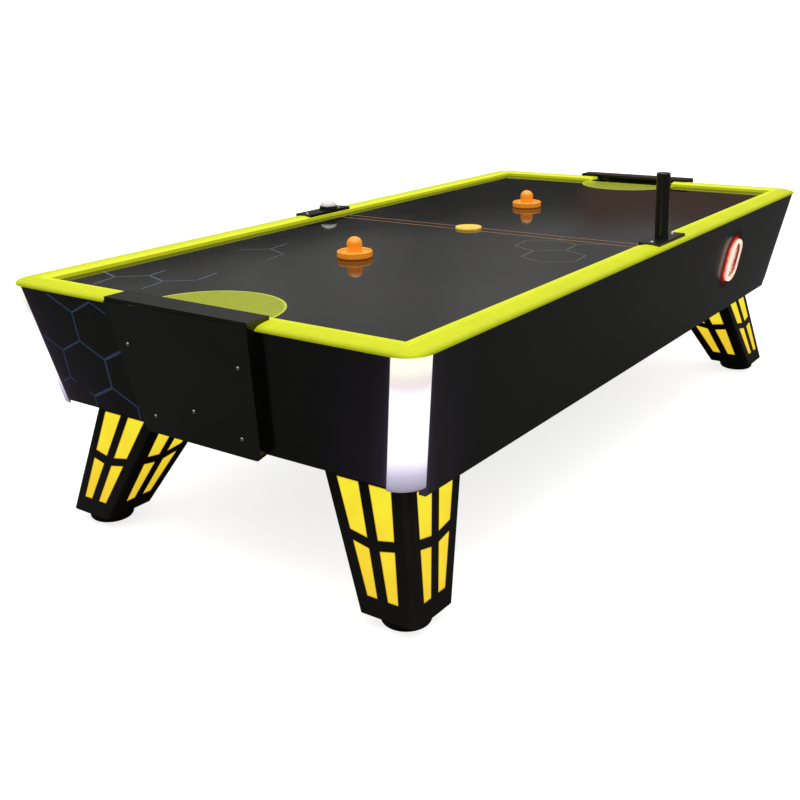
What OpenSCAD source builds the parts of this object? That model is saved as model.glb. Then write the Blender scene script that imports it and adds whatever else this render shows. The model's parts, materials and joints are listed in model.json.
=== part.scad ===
// Air hockey table with lit rails, lit corners and lit legs.
// Origin on the floor under the middle of the table. +Z up, +Y along the length towards the far
// goal, +X towards the long side that carries the start button.

/* [Playfield] */
// Width between the side rails
play_w = 1120; // [1000:5:1300]
// Length between the end rails
play_l = 2365; // [2200:5:2600]
// Height of the playing surface above the floor
play_z = 663; // [640:1:760]
// Thickness of the playfield board
play_t = 12; // [9:1:18]

/* [Rails] */
// Width of the rails
rail_w = 79; // [72:1:90]
// Height of the rail crest above the playing surface
rail_h = 15; // [12:1:20]
// Height of the upright inner face of the rail
rail_lip = 10; // [7:1:11]
// Distance of the crest from the inner edge
rail_crest = 26; // [18:1:34]

/* [Cabinet] */
// How far each wall leans in for each millimetre it drops
lean = 0.21; // [0.15:0.01:0.24]
// Wall thickness, measured level
wall_t = 18; // [15:1:20]
// Depth of the end walls below the playing surface
end_drop = 308; // [300:1:320]
// Depth of the side walls below the playing surface
side_drop = 341; // [335:1:350]
// Radius of the lit corners
corner_r = 60; // [50:1:66]
// Thickness of the lit corner shells
corner_t = 5; // [3:0.5:6]

/* [Goals] */
// Width of the goal mouth between the end rails
goal_w = 350; // [300:5:380]
// Width of the goal cover at the top
cover_w = 452; // [430:2:470]
// Width of the goal cover at the bottom
cover_bottom_w = 372; // [350:2:400]
// How far the cover front stands out from the end wall
cover_proud = 25; // [20:1:30]
// Thickness of the cover's top plate
cover_plate = 9; // [6:1:12]

/* [Legs] */
// Width of a leg at the cabinet
leg_top_w = 240; // [228:2:246]
// Width of a leg at the foot
leg_foot_w = 148; // [142:1:152]
// Gap under the legs that the levelling feet fill
leg_gap = 32; // [30:1:36]
// Diameter of the levelling feet
foot_d = 116; // [100:1:124]

/* [Posts] */
// Diameter of the post
post_d = 39; // [34:1:44]
// Height of the post above its base plate
post_h = 184; // [150:2:240]
// Distance of the post from mid-length, towards the far goal
post_y = 50; // [40:1:60]

/* [Loose pieces] */
// Diameter of the mallets
mallet_d = 100; // [96:1:104]
// Diameter of the puck
puck_d = 82.5; // [80:0.5:84]
// Thickness of the puck
puck_t = 6.5; // [5:0.5:8]

/* [Hidden] */
AIR = 0.4;                         // air film under the puck and the mallets
rail_top = play_z + rail_h;
side_x = play_w / 2 + rail_w;      // outer edge of the side rails
end_y = play_l / 2 + rail_w;       // outer edge of the end rails
rail_over = 2;                     // the rails stand this far outside the walls
top_x = side_x - rail_over;        // outer faces of the walls at the playing surface
top_y = end_y - rail_over;
tilt = atan(lean);
end_low = play_z - end_drop;
side_low = play_z - side_drop;
light_low = end_low - 9;           // the lit corners reach below the end walls
turn_r = corner_r + rail_over;     // plan radius of the rail frame's outer corners

board_margin = 40;                 // how far the playfield board runs under the rails
plenum_h = 48;
plenum_t = 12;
plenum_low = play_z - play_t - plenum_h - plenum_t;

leg_x = 565;                       // outer faces of the legs at their lower end
leg_y = 1175;
leg_low = leg_gap;
leg_round = 22;                    // radius of a leg's outer ridge
leg_wall = 6;
window_edge = 40;                  // from a leg's outer ridge to its windows
window_in = 36;                    // from its inner edge to its windows
window_bar = 28;
window_low = 72;
window_high = 308;                 // top of the windows that face along the table
window_inner = 336;                // the same, on the leg's inner side
window_side = 300;                 // top of the windows that face across it
bar_low = 173;                     // the crossbar, where it dips lowest
bar_high = 194;
bar_dip = 8;
leg_c = [leg_x - leg_foot_w / 2, leg_y - leg_foot_w / 2];
stem_r = 8;
foot_h = 30;

plate_in = 32;                     // the cover plate starts this far from the goal line
plate_low = rail_top;
plate_high = rail_top + cover_plate;
cover_low = end_low - 6;
cover_skin = 4;
goal_cut = 105;                    // depth of the goal cut-out in the end walls
goal_cut_w = 316;
chute_depth = 46;
SCREWS = [[-176, 580], [176, 580], [-140, 398], [140, 398], [0, 439]];
screw_r = 2.5;

post_x = play_w / 2 + 34;
base_w = 62;
collar_y = -4;
RIGHT_BASE = [post_y + 6, 194];    // middle and length of the base plates
LEFT_BASE = [collar_y - 28, 214];
base_top = rail_top + 5;

button_y = 628;
button_z = 517;
ring_w = 90;
ring_h = 148;
ring_tube = 12;
button_gap = 0.6;

mallet_x = -68;
mallet_near_y = -536;
mallet_far_y = 473;
mallet_h = 58;
puck_x = -27;

fan_z = 478;                       // underside of the blower drum
fan_r = 150;
shaft_r = 6;

CORNERS = [[-1, -1], [1, -1], [-1, 1], [1, 1]];

// Outer face of a side wall and of an end wall at height z.
function wall_x(z) = top_x - lean * (play_z - z);
function wall_y(z) = top_y - lean * (play_z - z);
// Outer faces of a leg and its width at height z, and the middle of its window bar.
function leg_out_x(z) = leg_x - lean * (z - leg_low);
function leg_out_y(z) = leg_y - lean * (z - leg_low);
function leg_w(z) = leg_foot_w + (leg_top_w - leg_foot_w) * (z - leg_low) / (end_low - leg_low);
function bar_at(z) = (window_edge + leg_w(z) - window_in) / 2;
function arc(cx, cy, r, from, to, steps) =
    [for (i = [0 : steps]) let (a = from + (to - from) * i / steps) [cx + r * cos(a), cy + r * sin(a)]];

// ---- Playfield and plenum -------------------------------------------------------------------

// A level board, cut back at both goals so that the puck can drop.
module board(w, l, low, t) {
    translate([-w / 2, -l / 2, low]) cube([w, l, t]);
}

module goal_notches(low, h) {
    for (s = [-1, 1])
        translate([-goal_w / 2, s > 0 ? play_l / 2 + 6 : -play_l / 2 - 6 - 100, low - 1])
            cube([goal_w, 100, h + 2]);
}

module playfield() {
    color([0.05, 0.05, 0.055]) difference() {
        board(play_w + 2 * board_margin, play_l + 2 * board_margin, play_z - play_t, play_t);
        goal_notches(play_z - play_t, play_t);
    }
}

module plenum_board() {
    color([0.45, 0.36, 0.25]) difference() {
        board(play_w - 20, play_l - 40, plenum_low, plenum_t);
        translate([0, 0, plenum_low - 1]) cylinder(r = 66, h = plenum_t + 2, $fn = 64);
    }
}

// Battens that hold the playfield off the plenum board: a closed frame and ribs with air gaps.
module plenum_battens() {
    w = play_w - 20;
    l = play_l - 40;
    bat = 22;
    low = plenum_low + plenum_t;
    color([0.72, 0.58, 0.38]) {
        for (s = [-1, 1]) {
            translate([s * (w / 2 - bat / 2) - bat / 2, -l / 2, low]) cube([bat, l, plenum_h]);
            translate([-w / 2 + bat, s * (l / 2 - bat / 2) - bat / 2, low])
                cube([w - 2 * bat, bat, plenum_h]);
        }
        for (y = [-850 : 340 : 850], s = [-1, 1])
            translate([s > 0 ? 40 : -w / 2 + bat + 60, y - bat / 2, low])
                cube([w / 2 - bat - 100, bat, plenum_h]);
    }
}

// Two timbers that cross the cabinet under the plenum and carry the blower.
module cross_members() {
    low = plenum_low - 70;
    half = wall_x(low) - wall_t - 0.5;
    color([0.72, 0.58, 0.38]) for (y = [-540, -210, 210, 540])
        translate([-half, y - 20, low]) cube([2 * half, 40, 70]);
}

// ---- Cabinet walls -------------------------------------------------------------------------

// Leaning wall along Y whose ends follow the lit corners.
module side_wall(low) {
    reach = top_y - corner_r;
    intersection() {
        rotate([90, 0, 0]) linear_extrude(height = 2 * end_y, center = true)
            polygon([[wall_x(play_z), play_z], [wall_x(low), low],
                [wall_x(low) - wall_t, low], [wall_x(play_z) - wall_t, play_z]]);
        rotate([90, 0, 90]) linear_extrude(height = 2 * side_x, center = true)
            polygon([[-wall_y(play_z) + corner_r, play_z], [wall_y(play_z) - corner_r, play_z],
                [wall_y(low) - corner_r, low], [-wall_y(low) + corner_r, low]]);
    }
}

module end_wall(low) {
    intersection() {
        rotate([90, 0, 90]) linear_extrude(height = 2 * side_x, center = true)
            polygon([[-wall_y(play_z), play_z], [-wall_y(low), low],
                [-wall_y(low) + wall_t, low], [-wall_y(play_z) + wall_t, play_z]]);
        rotate([90, 0, 0]) linear_extrude(height = 2 * end_y + 100, center = true)
            polygon([[-wall_x(play_z) + corner_r, play_z], [wall_x(play_z) - corner_r, play_z],
                [wall_x(low) - corner_r, low], [-wall_x(low) + corner_r, low]]);
    }
}

// Places children on the right-hand wall at the button: +Z of the child points out of the wall.
module on_right_wall(y, z) {
    translate([wall_x(z), y, z]) rotate([0, 90 + tilt, 0]) children();
}

// A slot shape with round ends, w across and h long.
module slot_2d(w, h) {
    square([h - w, w], center = true);
    for (s = [-1, 1]) translate([s * (h - w) / 2, 0]) circle(d = w, $fn = 64);
}

module slot(w, h, low, t) {
    translate([0, 0, low]) linear_extrude(height = t) slot_2d(w, h);
}

module side_wall_left() {
    color([0.05, 0.05, 0.055]) mirror([1, 0, 0]) side_wall(side_low);
}

module side_wall_right() {
    color([0.05, 0.05, 0.055]) difference() {
        side_wall(side_low);
        on_right_wall(button_y, button_z) slot(ring_w - 16, ring_h - 16, -60, 80);
    }
}

module goal_cut_out() {
    translate([-goal_cut_w / 2, -end_y - 10, play_z - goal_cut])
        cube([goal_cut_w, 80, goal_cut + 10]);
}

module end_wall_near() {
    color([0.05, 0.05, 0.055]) difference() {
        end_wall(end_low);
        goal_cut_out();
    }
}

module end_wall_far() {
    color([0.05, 0.05, 0.055]) difference() {
        mirror([0, 1, 0]) end_wall(end_low);
        mirror([0, 1, 0]) goal_cut_out();
        inlet_place() translate([0, 0, -40]) cube([49, 29, 100], center = true);
    }
}

// ---- Rails ---------------------------------------------------------------------------------

// Height of the bevel at distance d from the rail's inner edge.
function bevel(d) = rail_lip + (rail_h - 0.6 - rail_lip) * (d - 1.2) / (rail_crest - 4.2);
// The long curve that falls from the crest to the outer edge.
rail_fall = [for (i = [0 : 12]) let (a = 90 - i * 7.5)
    [rail_crest + (rail_w - rail_crest) * cos(a), 3 + (rail_h - 3) * sin(a)]];
rail_foot = [[rail_w, 1.5], [rail_w - 1.5, 0]];
// Section of a rail: x is 0 at the inner edge, y is 0 on the playfield.
rail_section = concat([[0, 0], [0, rail_lip - 1.5], [1.2, rail_lip], [rail_crest - 3, bevel(rail_crest - 3)]],
    rail_fall, rail_foot);
// Its outer part, for turning about the centre of a rounded corner.
rail_turn = concat([[0, 0], [0, bevel(rail_w - turn_r)], [rail_crest - 3 - rail_w + turn_r, bevel(rail_crest - 3)]],
    [for (p = rail_fall) [p[0] - rail_w + turn_r, p[1]]],
    [for (p = rail_foot) [p[0] - rail_w + turn_r, p[1]]]);

module rail_bar(length) {
    rotate([90, 0, 0]) linear_extrude(height = length, center = true) polygon(rail_section);
}

// Wedge that mitres a rail at the frame's inner corner. along is 0 for a side rail.
module mitre(along) {
    d = rail_w - turn_r + 0.02;
    translate([play_w / 2, play_l / 2, play_z - 1]) linear_extrude(height = rail_h + 2)
        polygon(along == 0 ? [[0, 0], [0, d], [d, d]] : [[0, 0], [d, 0], [d, d]]);
}

module rail_right() {
    color([0.83, 0.88, 0.15]) difference() {
        translate([play_w / 2, 0, play_z]) rail_bar(2 * (end_y - turn_r));
        mitre(0);
        mirror([0, 1, 0]) mitre(0);
    }
}

module rail_left() {
    mirror([1, 0, 0]) rail_right();
}

// Half of the far end rail: a bar from the goal mouth, and the rounded corner of the frame.
module rail_far_right() {
    run = side_x - turn_r - goal_w / 2;
    color([0.83, 0.88, 0.15]) {
        difference() {
            translate([goal_w / 2 + run / 2, play_l / 2, play_z]) rotate([0, 0, 90]) mirror([0, 1, 0])
                rail_bar(run);
            mitre(1);
        }
        translate([side_x - turn_r, end_y - turn_r, play_z])
            rotate_extrude(angle = 90, $fn = 96) polygon(rail_turn);
    }
}

module rail_far_left() {
    mirror([1, 0, 0]) rail_far_right();
}

module rail_near_right() {
    mirror([0, 1, 0]) rail_far_right();
}

module rail_near_left() {
    mirror([1, 0, 0]) rail_near_right();
}

// ---- Lit corners ---------------------------------------------------------------------------

// Level arc at height z, r from the axis of the far right corner, as 3D points.
function corner_arc(z, r) = [for (p = arc(wall_x(z) - corner_r, wall_y(z) - corner_r, r, 0, 90, 20))
    [p[0], p[1], z]];

// Quarter-round shell that leans with the walls.
module corner_light() {
    n = 21;
    color([0.96, 0.96, 1]) polyhedron(
        points = concat(corner_arc(light_low, corner_r), corner_arc(play_z, corner_r),
            corner_arc(light_low, corner_r - corner_t), corner_arc(play_z, corner_r - corner_t)),
        faces = concat(
            [for (i = [0 : n - 2]) [i, n + i, n + i + 1, i + 1]],
            [for (i = [0 : n - 2]) [2 * n + i, 2 * n + i + 1, 3 * n + i + 1, 3 * n + i]],
            [for (i = [0 : n - 2]) [n + i, 3 * n + i, 3 * n + i + 1, n + i + 1]],
            [for (i = [0 : n - 2]) [i, i + 1, 2 * n + i + 1, 2 * n + i]],
            [[0, 2 * n, 3 * n, n], [n - 1, 2 * n - 1, 4 * n - 1, 3 * n - 1]]));
}

// Copies children from the far right corner to the corner with signs sx and sy.
module at_corner(sx, sy) {
    mirror([sx < 0 ? 1 : 0, 0, 0]) mirror([0, sy < 0 ? 1 : 0, 0]) children();
}

module led_strips() {
    a = wall_x(end_low) - corner_r - 6.5;
    b = wall_y(end_low) - corner_r - 6.5;
    color([0.9, 0.9, 0.85]) for (c = CORNERS) at_corner(c[0], c[1]) {
        translate([a, b + 6, end_low + 10]) cube([2, 18, plenum_low - end_low - 20]);
        translate([a + 6, b, end_low + 10]) cube([18, 2, plenum_low - end_low - 20]);
        // The strip that stands inside the leg behind its windows.
        translate([leg_c[0] - 66, leg_c[1] - 66, leg_low + 98]) cube([12, 12, 200]);
    }
}

// ---- Legs ----------------------------------------------------------------------------------

// Level section of a leg at height z, taken in by t, as 3D points. The ridge is its first corner.
function leg_ring(z, t) = let (r = max(leg_round - t, 3), q = max(8 - t, 1.5),
        x1 = leg_out_x(z) - t, y1 = leg_out_y(z) - t,
        x0 = leg_out_x(z) - leg_w(z) + t, y0 = leg_out_y(z) - leg_w(z) + t)
    [for (p = concat(arc(x1 - r, y1 - r, r, 0, 90, 12), arc(x0 + q, y1 - q, q, 90, 180, 4),
        arc(x0 + q, y0 + q, q, 180, 270, 4), arc(x1 - q, y0 + q, q, 270, 360, 4))) [p[0], p[1], z]];

// Solid leg that widens and leans inwards as it rises, taken in by t on every side.
module leg_blank(t) {
    low = leg_ring(leg_low + t, t);
    high = leg_ring(end_low - t, t);
    n = len(low);
    polyhedron(points = concat(low, high), faces = concat(
        [for (i = [0 : n - 1]) [i, n + i, n + (i + 1) % n, (i + 1) % n]],
        [[for (i = [0 : n - 1]) i], [for (i = [n - 1 : -1 : 0]) n + i]]));
}

// The four windows of a leg face as [distance from the outer ridge, height], up to top.
function windows(top) = let (half = window_bar / 2) [
    [[window_edge, bar_high + bar_dip], [bar_at(bar_high) - half, bar_high],
        [bar_at(top) - half, top], [window_edge, top]],
    [[bar_at(bar_high) + half, bar_high], [leg_w(bar_high + bar_dip) - window_in, bar_high + bar_dip],
        [leg_w(top) - window_in, top], [bar_at(top) + half, top]],
    [[window_edge, window_low], [bar_at(window_low) - half, window_low],
        [bar_at(bar_low) - half, bar_low], [window_edge, bar_low + bar_dip]],
    [[bar_at(window_low) + half, window_low], [leg_w(window_low) - window_in, window_low],
        [leg_w(bar_low + bar_dip) - window_in, bar_low + bar_dip], [bar_at(bar_low) + half, bar_low]]];

// The windows of all four faces as level prisms through the leg's wall.
module window_prisms() {
    for (w = windows(window_high)) {
        high = leg_out_y(window_high) - 12;
        translate([0, leg_y + 2, 0]) rotate([90, 0, 0]) linear_extrude(height = leg_y + 2 - high)
            polygon([for (p = w) [leg_out_x(p[1]) - p[0], p[1]]]);
    }
    for (w = windows(window_inner)) {
        shape = [for (p = w) [leg_out_x(p[1]) - p[0], p[1]]];
        low = leg_out_y(window_inner) - leg_w(window_inner) - 2;
        reach = leg_out_y(window_low) - leg_w(window_low) + 12;
        translate([0, reach, 0]) rotate([90, 0, 0]) linear_extrude(height = reach - low) polygon(shape);
    }
    for (w = windows(window_side)) {
        shape = [for (p = w) [leg_out_y(p[1]) - p[0], p[1]]];
        high = leg_out_x(window_side) - 12;
        translate([high, 0, 0]) rotate([90, 0, 90]) linear_extrude(height = leg_x + 2 - high)
            polygon(shape);
        low = leg_out_x(window_side) - leg_w(window_side) - 2;
        reach = leg_out_x(window_low) - leg_w(window_low) + 12;
        translate([low, 0, 0]) rotate([90, 0, 90]) linear_extrude(height = reach - low) polygon(shape);
    }
}

BOLTS = [[-100, -112], [-228, -112], [-100, -238]];
bolt_r = 5;
block_x = wall_x(end_low) - wall_t - 0.5;
block_y = wall_y(end_low) - wall_t - 0.5;

module bolt_holes(r, low, h) {
    for (p = BOLTS) translate([block_x + p[0], block_y + p[1], low]) cylinder(r = r, h = h, $fn = 48);
}

module leg() {
    color([0.06, 0.06, 0.06]) difference() {
        leg_blank(0);
        leg_blank(leg_wall);
        window_prisms();
        bolt_holes(bolt_r + 0.2, end_low - 20, 40);
        translate([leg_c[0], leg_c[1], 0]) cylinder(r = stem_r + 2, h = leg_low + 20, $fn = 64);
    }
}

// Diffuser behind the windows: a liner inside the leg, with pads that fill the openings.
module leg_lens() {
    color([0.98, 0.92, 0.3]) {
        intersection() {
            window_prisms();
            difference() {
                leg_blank(1.2);
                leg_blank(leg_wall + 1);
            }
        }
        intersection() {
            difference() {
                leg_blank(leg_wall + 0.2);
                leg_blank(leg_wall + 3.2);
            }
            translate([0, 0, window_low - 9]) cube([side_x, end_y, window_inner - window_low + 17]);
        }
    }
}

module leg_nut_plates() {
    color([0.7, 0.7, 0.72]) for (c = CORNERS) at_corner(c[0], c[1])
        translate([leg_c[0], leg_c[1], leg_low + leg_wall]) difference() {
            translate([-45, -45, 0]) cube([90, 90, 12]);
            translate([0, 0, -1]) cylinder(r = stem_r + 0.05, h = 20, $fn = 96);
        }
}

module leg_bolts() {
    color([0.7, 0.7, 0.72]) for (c = CORNERS) at_corner(c[0], c[1]) {
        bolt_holes(bolt_r, end_low - leg_wall, 46);
        bolt_holes(9, end_low - leg_wall - 7, 7);
    }
}

// Levelling foot: a moulded pad with a rounded rim, and a stem that turns in the nut plate.
module foot() {
    r = foot_d / 2;
    translate([leg_c[0], leg_c[1], 0]) {
        color([0.05, 0.05, 0.05]) rotate_extrude($fn = 96)
            polygon(concat([[0, 0]], [[r - 12, 0]], arc(r - 12, 12, 12, -80, 0, 8),
                [[r, foot_h - 8]], arc(r - 6, foot_h - 6, 6, 10, 90, 6), [[0, foot_h]]));
        color([0.7, 0.7, 0.72]) translate([0, 0, foot_h - 1])
            cylinder(r = stem_r, h = 76, $fn = 96);
    }
}

module block_2d(size, cut) {
    polygon([[-size, -size], [0, -size], [0, -cut], [-cut, -cut], [-cut, 0], [-size, 0]]);
}

// Timber blocks inside the corners: a thick plate over the leg and a post up to the plenum.
module corner_blocks() {
    cut = corner_r - wall_t + 6;
    size = 262;
    post = 118;
    color([0.72, 0.58, 0.38]) for (c = CORNERS) at_corner(c[0], c[1]) difference() {
        translate([block_x, block_y, end_low + 0.5]) {
            linear_extrude(height = 45) block_2d(size, cut);
            linear_extrude(height = plenum_low - end_low - 0.5) block_2d(post, cut);
        }
        bolt_holes(bolt_r + 0.2, end_low - 1, 42);
    }
}

// ---- Goals ---------------------------------------------------------------------------------

// Frame of the near end wall: +X stays, +Y climbs the wall from the playing surface's level,
// and +Z points out of the wall.
module near_wall() {
    translate([0, -top_y, play_z]) rotate([90 + tilt, 0, 0]) children();
}

function climb(z) = (z - play_z) / cos(tilt);

module end_rail_pair() {
    for (s = [0, 1]) mirror([s, 0, 0]) rail_near_right();
}

module goal_plate() {
    near = play_l / 2 + plate_in;
    out = top_y + cover_proud;
    color([0.06, 0.06, 0.065]) difference() {
        union() {
            translate([-cover_w / 2, -out, plate_low]) cube([cover_w, out - near, cover_plate]);
            // Cheeks that fill the space between the plate and the falling rails.
            for (s = [-1, 1]) translate([s > 0 ? goal_w / 2 : -cover_w / 2, -end_y + 0.5, play_z + 2])
                cube([cover_w / 2 - goal_w / 2, end_y - near - 1, rail_h]);
        }
        end_rail_pair();
    }
}

// Outline of the cover front, taken in by t, with rounded lower corners.
module cover_2d(t) {
    r = 20 - t;
    low = climb(cover_low) + t;
    high = climb(rail_top) + 20;
    grow = (cover_w - cover_bottom_w) / 2 / (climb(rail_top) - climb(cover_low));
    lean_in = atan(grow);
    base = cover_bottom_w / 2 - t;
    cx = base + grow * r - r / cos(lean_in);
    turn = arc(cx, low + r, r, -lean_in, -90, 12);
    half = concat([[base + grow * (high - low), high]], turn);
    polygon(concat(half, [for (i = [len(half) - 1 : -1 : 0]) [-half[i][0], half[i][1]]]));
}

module screw_places(w) {
    for (p = SCREWS) near_wall() translate([p[0], climb(p[1]), w]) children();
}

// Hollow front of the cover: a skin with side returns and spacers for its screws.
module goal_front() {
    color([0.06, 0.06, 0.065]) difference() {
        union() {
            difference() {
                near_wall() translate([0, 0, 0.3]) linear_extrude(height = cover_proud - 0.3) cover_2d(0);
                near_wall() translate([0, 0, -1])
                    linear_extrude(height = cover_proud + 1 - cover_skin) cover_2d(cover_skin);
            }
            screw_places(0.3) cylinder(r = 7, h = cover_proud - 1, $fn = 48);
        }
        screw_places(-1) cylinder(r = screw_r + 0.1, h = cover_proud + 5, $fn = 48);
        translate([-cover_w, -end_y - 200, plate_low - 0.3]) cube([2 * cover_w, 400, 100]);
        translate([-cover_w, -end_y - 0.3, play_z - 3]) cube([2 * cover_w, 100, 60]);
    }
}

module goal_screws_half() {
    screw_places(-14) cylinder(r = screw_r, h = cover_proud + 14, $fn = 48);
    screw_places(cover_proud) rotate_extrude($fn = 48)
        polygon([[0, 0], [6.5, 0], [6.3, 1.2], [5, 2.6], [2.5, 3.3], [0, 3.5]]);
}

module goal_screws() {
    color([0.75, 0.75, 0.78]) for (s = [0, 1]) mirror([0, s, 0]) goal_screws_half();
}

// Chute behind the end wall. The puck drops into it and rests on its floor, and is taken out
// through the gap under its back.
module goal_chute() {
    w = goal_cut_w + 8;
    low = climb(end_low + 16);
    high = climb(play_z - play_t - 3);
    gap_top = climb(end_low + 100);
    back = -wall_t - chute_depth;
    color([0.12, 0.12, 0.13]) near_wall() {
        translate([-w / 2, gap_top, back]) cube([w, high - gap_top, 3]);
        for (s = [-1, 1]) translate([s > 0 ? w / 2 - 3 : -w / 2, low, back])
            cube([3, high - low, chute_depth - 0.5]);
        translate([-w / 2, low, back]) cube([w, 3, chute_depth - 0.5]);
        translate([-w / 2, low, back]) cube([w, 15, 3]);
    }
}

// ---- Posts ---------------------------------------------------------------------------------

// Plate that lies on the right-hand rail, hollowed to the rail's shape. b is [middle, length].
module post_base(b) {
    color([0.05, 0.05, 0.05]) difference() {
        translate([play_w / 2 + 3, b[0] - b[1] / 2, play_z + 6])
            cube([base_w, b[1], base_top - play_z - 6]);
        rail_right();
        for (s = [-1, 1]) translate([post_x, b[0] + s * (b[1] / 2 - 22), play_z])
            cylinder(r = 2.7, h = 60, $fn = 48);
    }
}

module post_base_right() {
    post_base(RIGHT_BASE);
}

module post_base_left() {
    mirror([1, 0, 0]) post_base(LEFT_BASE);
}

module post() {
    color([0.08, 0.08, 0.085]) translate([post_x, post_y, base_top]) difference() {
        cylinder(d = post_d, h = post_h, $fn = 128);
        translate([0, 0, 4]) cylinder(d = post_d - 5, h = post_h, $fn = 128);
    }
}

module post_cap() {
    r = post_d / 2;
    color([0.08, 0.08, 0.085]) translate([post_x, post_y, base_top + post_h])
        rotate_extrude($fn = 128)
            polygon([[0, -10], [r - 2.6, -10], [r - 2.6, 0], [r, 0], [r, 2], [r - 1.5, 4], [0, 5]]);
}

// The left-hand post ends in a short collar, closed by a dome.
module post_collar() {
    color([0.06, 0.06, 0.065]) translate([-post_x, collar_y, base_top]) rotate_extrude($fn = 128)
        polygon([[12, 0], [31, 0], [31, 2], [30, 10], [29, 11], [12, 11]]);
}

module collar_dome() {
    color([0.95, 0.95, 0.95]) translate([-post_x, collar_y, base_top + 11]) rotate_extrude($fn = 128)
        polygon(concat([[0, -8], [11.8, -8], [11.8, 0.2], [28, 0.2]],
            [for (i = [1 : 14]) let (a = i * 90 / 14) [28 * cos(a), 0.2 + 17 * sin(a)]]));
}

module post_screws() {
    color([0.75, 0.75, 0.78]) for (b = [[post_x, RIGHT_BASE], [-post_x, LEFT_BASE]], s = [-1, 1])
        translate([b[0], b[1][0] + s * (b[1][1] / 2 - 22), base_top]) {
            translate([0, 0, -8]) cylinder(r = 2.5, h = 8, $fn = 48);
            rotate_extrude($fn = 48) polygon([[0, 0], [5.5, 0], [5.2, 1.2], [4, 2.4], [0, 3.2]]);
        }
}

// ---- Start button --------------------------------------------------------------------------

// A closed band of the given 2D section round a slot shape. Section x is measured from the
// middle line of a slot w across and h long.
module band(w, h, points) {
    r = w / 2;
    for (s = [0, 1]) mirror([s, 0, 0]) translate([(h - w) / 2, 0, 0])
        rotate([0, 0, -90]) rotate_extrude(angle = 180, $fn = 96)
            polygon([for (p = points) [p[0] + r, p[1]]]);
    for (s = [0, 1]) mirror([0, s, 0]) translate([0, r, 0]) rotate([90, 0, 90])
        linear_extrude(height = h - w, center = true) polygon(points);
}

module button_ring() {
    half = ring_tube / 2;
    color([1, 0.25, 0.15]) on_right_wall(button_y, button_z)
        band(ring_w - ring_tube, ring_h - ring_tube,
            concat([[-half, 0.2], [half, 0.2]], arc(0, 11, half, 0, 180, 16)));
}

// Dome over a slot shape: the edge height is low and the middle height is high.
module pillow(w, h, low, high) {
    r = w / 2;
    top = [for (i = [0 : 10]) let (a = i * 9) [r * cos(a), low + (high - low) * sin(a)]];
    for (s = [0, 1]) mirror([s, 0, 0]) translate([(h - w) / 2, 0, 0])
        rotate([0, 0, -90]) rotate_extrude(angle = 180, $fn = 96) polygon(concat([[0, 0], [r, 0]], top));
    rotate([90, 0, 90]) linear_extrude(height = h - w, center = true)
        polygon(concat([[-r, 0], [r, 0]], top, [for (i = [9 : -1 : 0]) [-top[i][0], top[i][1]]]));
}

cap_w = ring_w - 2 * ring_tube - 2 * button_gap;
cap_h = cap_w + ring_h - ring_w;
module start_button() {
    color([0.15, 0.05, 0.05]) on_right_wall(button_y, button_z) {
        translate([0, 0, -8]) pillow(cap_w, cap_h, 16, 26);
        translate([0, 0, -44]) cylinder(r = 6, h = 38, $fn = 64);
    }
}

// Cup in the wall behind the ring, with the guide for the button's stem.
module button_housing() {
    w = ring_w - 16.6;
    h = ring_h - 16.6;
    color([0.1, 0.1, 0.1]) on_right_wall(button_y, button_z) difference() {
        slot(w, h, -36, 36);
        slot(cap_w + 1.2, cap_h + 1.2, -26, 40);
        translate([0, 0, -50]) cylinder(r = 6.05, h = 40, $fn = 64);
    }
}

// ---- Power, blower --------------------------------------------------------------------------

module control_box() {
    w = 230;
    l = 200;
    h = 66;
    color([0.6, 0.6, 0.62]) translate([300, 310, plenum_low - h]) difference() {
        cube([w, l, h]);
        translate([2, 2, 2]) cube([w - 4, l - 4, h - 4]);
        for (i = [0 : 9]) translate([30 + i * 18, -1, 20]) cube([8, 4, 26]);
        translate([-1, l / 2, h / 2]) rotate([0, 90, 0]) cylinder(r = 9, h = 6, $fn = 48);
    }
}

module inlet_place() {
    mirror([0, 1, 0]) near_wall() translate([-420, climb(460), 0]) children();
}

module power_inlet() {
    color([0.08, 0.08, 0.08]) inlet_place() difference() {
        union() {
            translate([-30, -19, 0.2]) cube([60, 38, 3]);
            translate([-24, -14, -30]) cube([48, 28, 30.5]);
        }
        translate([-15, -10, -18]) cube([30, 20, 40]);
    }
}

module blower_drum() {
    color([0.7, 0.7, 0.72]) translate([0, 0, fan_z]) {
        difference() {
            cylinder(r = fan_r, h = plenum_low - fan_z, $fn = 128);
            translate([0, 0, 2]) cylinder(r = fan_r - 2, h = plenum_low - fan_z - 4, $fn = 128);
            translate([0, 0, -1]) cylinder(r = 82, h = 10, $fn = 96);
            translate([0, 0, plenum_low - fan_z - 5]) cylinder(r = 66, h = 10, $fn = 96);
        }
        // Arms that hold the motor under the air inlet.
        for (a = [0 : 120 : 240]) rotate([0, 0, a]) translate([54, -8, -3]) cube([48, 16, 3]);
    }
}

module blower_motor() {
    color([0.3, 0.3, 0.32]) translate([0, 0, fan_z]) {
        translate([0, 0, -84]) cylinder(r = 54, h = 84, $fn = 96);
        translate([0, 0, -90]) cylinder(r = 46, h = 6, $fn = 96);
        cylinder(r = shaft_r, h = 88, $fn = 64);
    }
}

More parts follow.
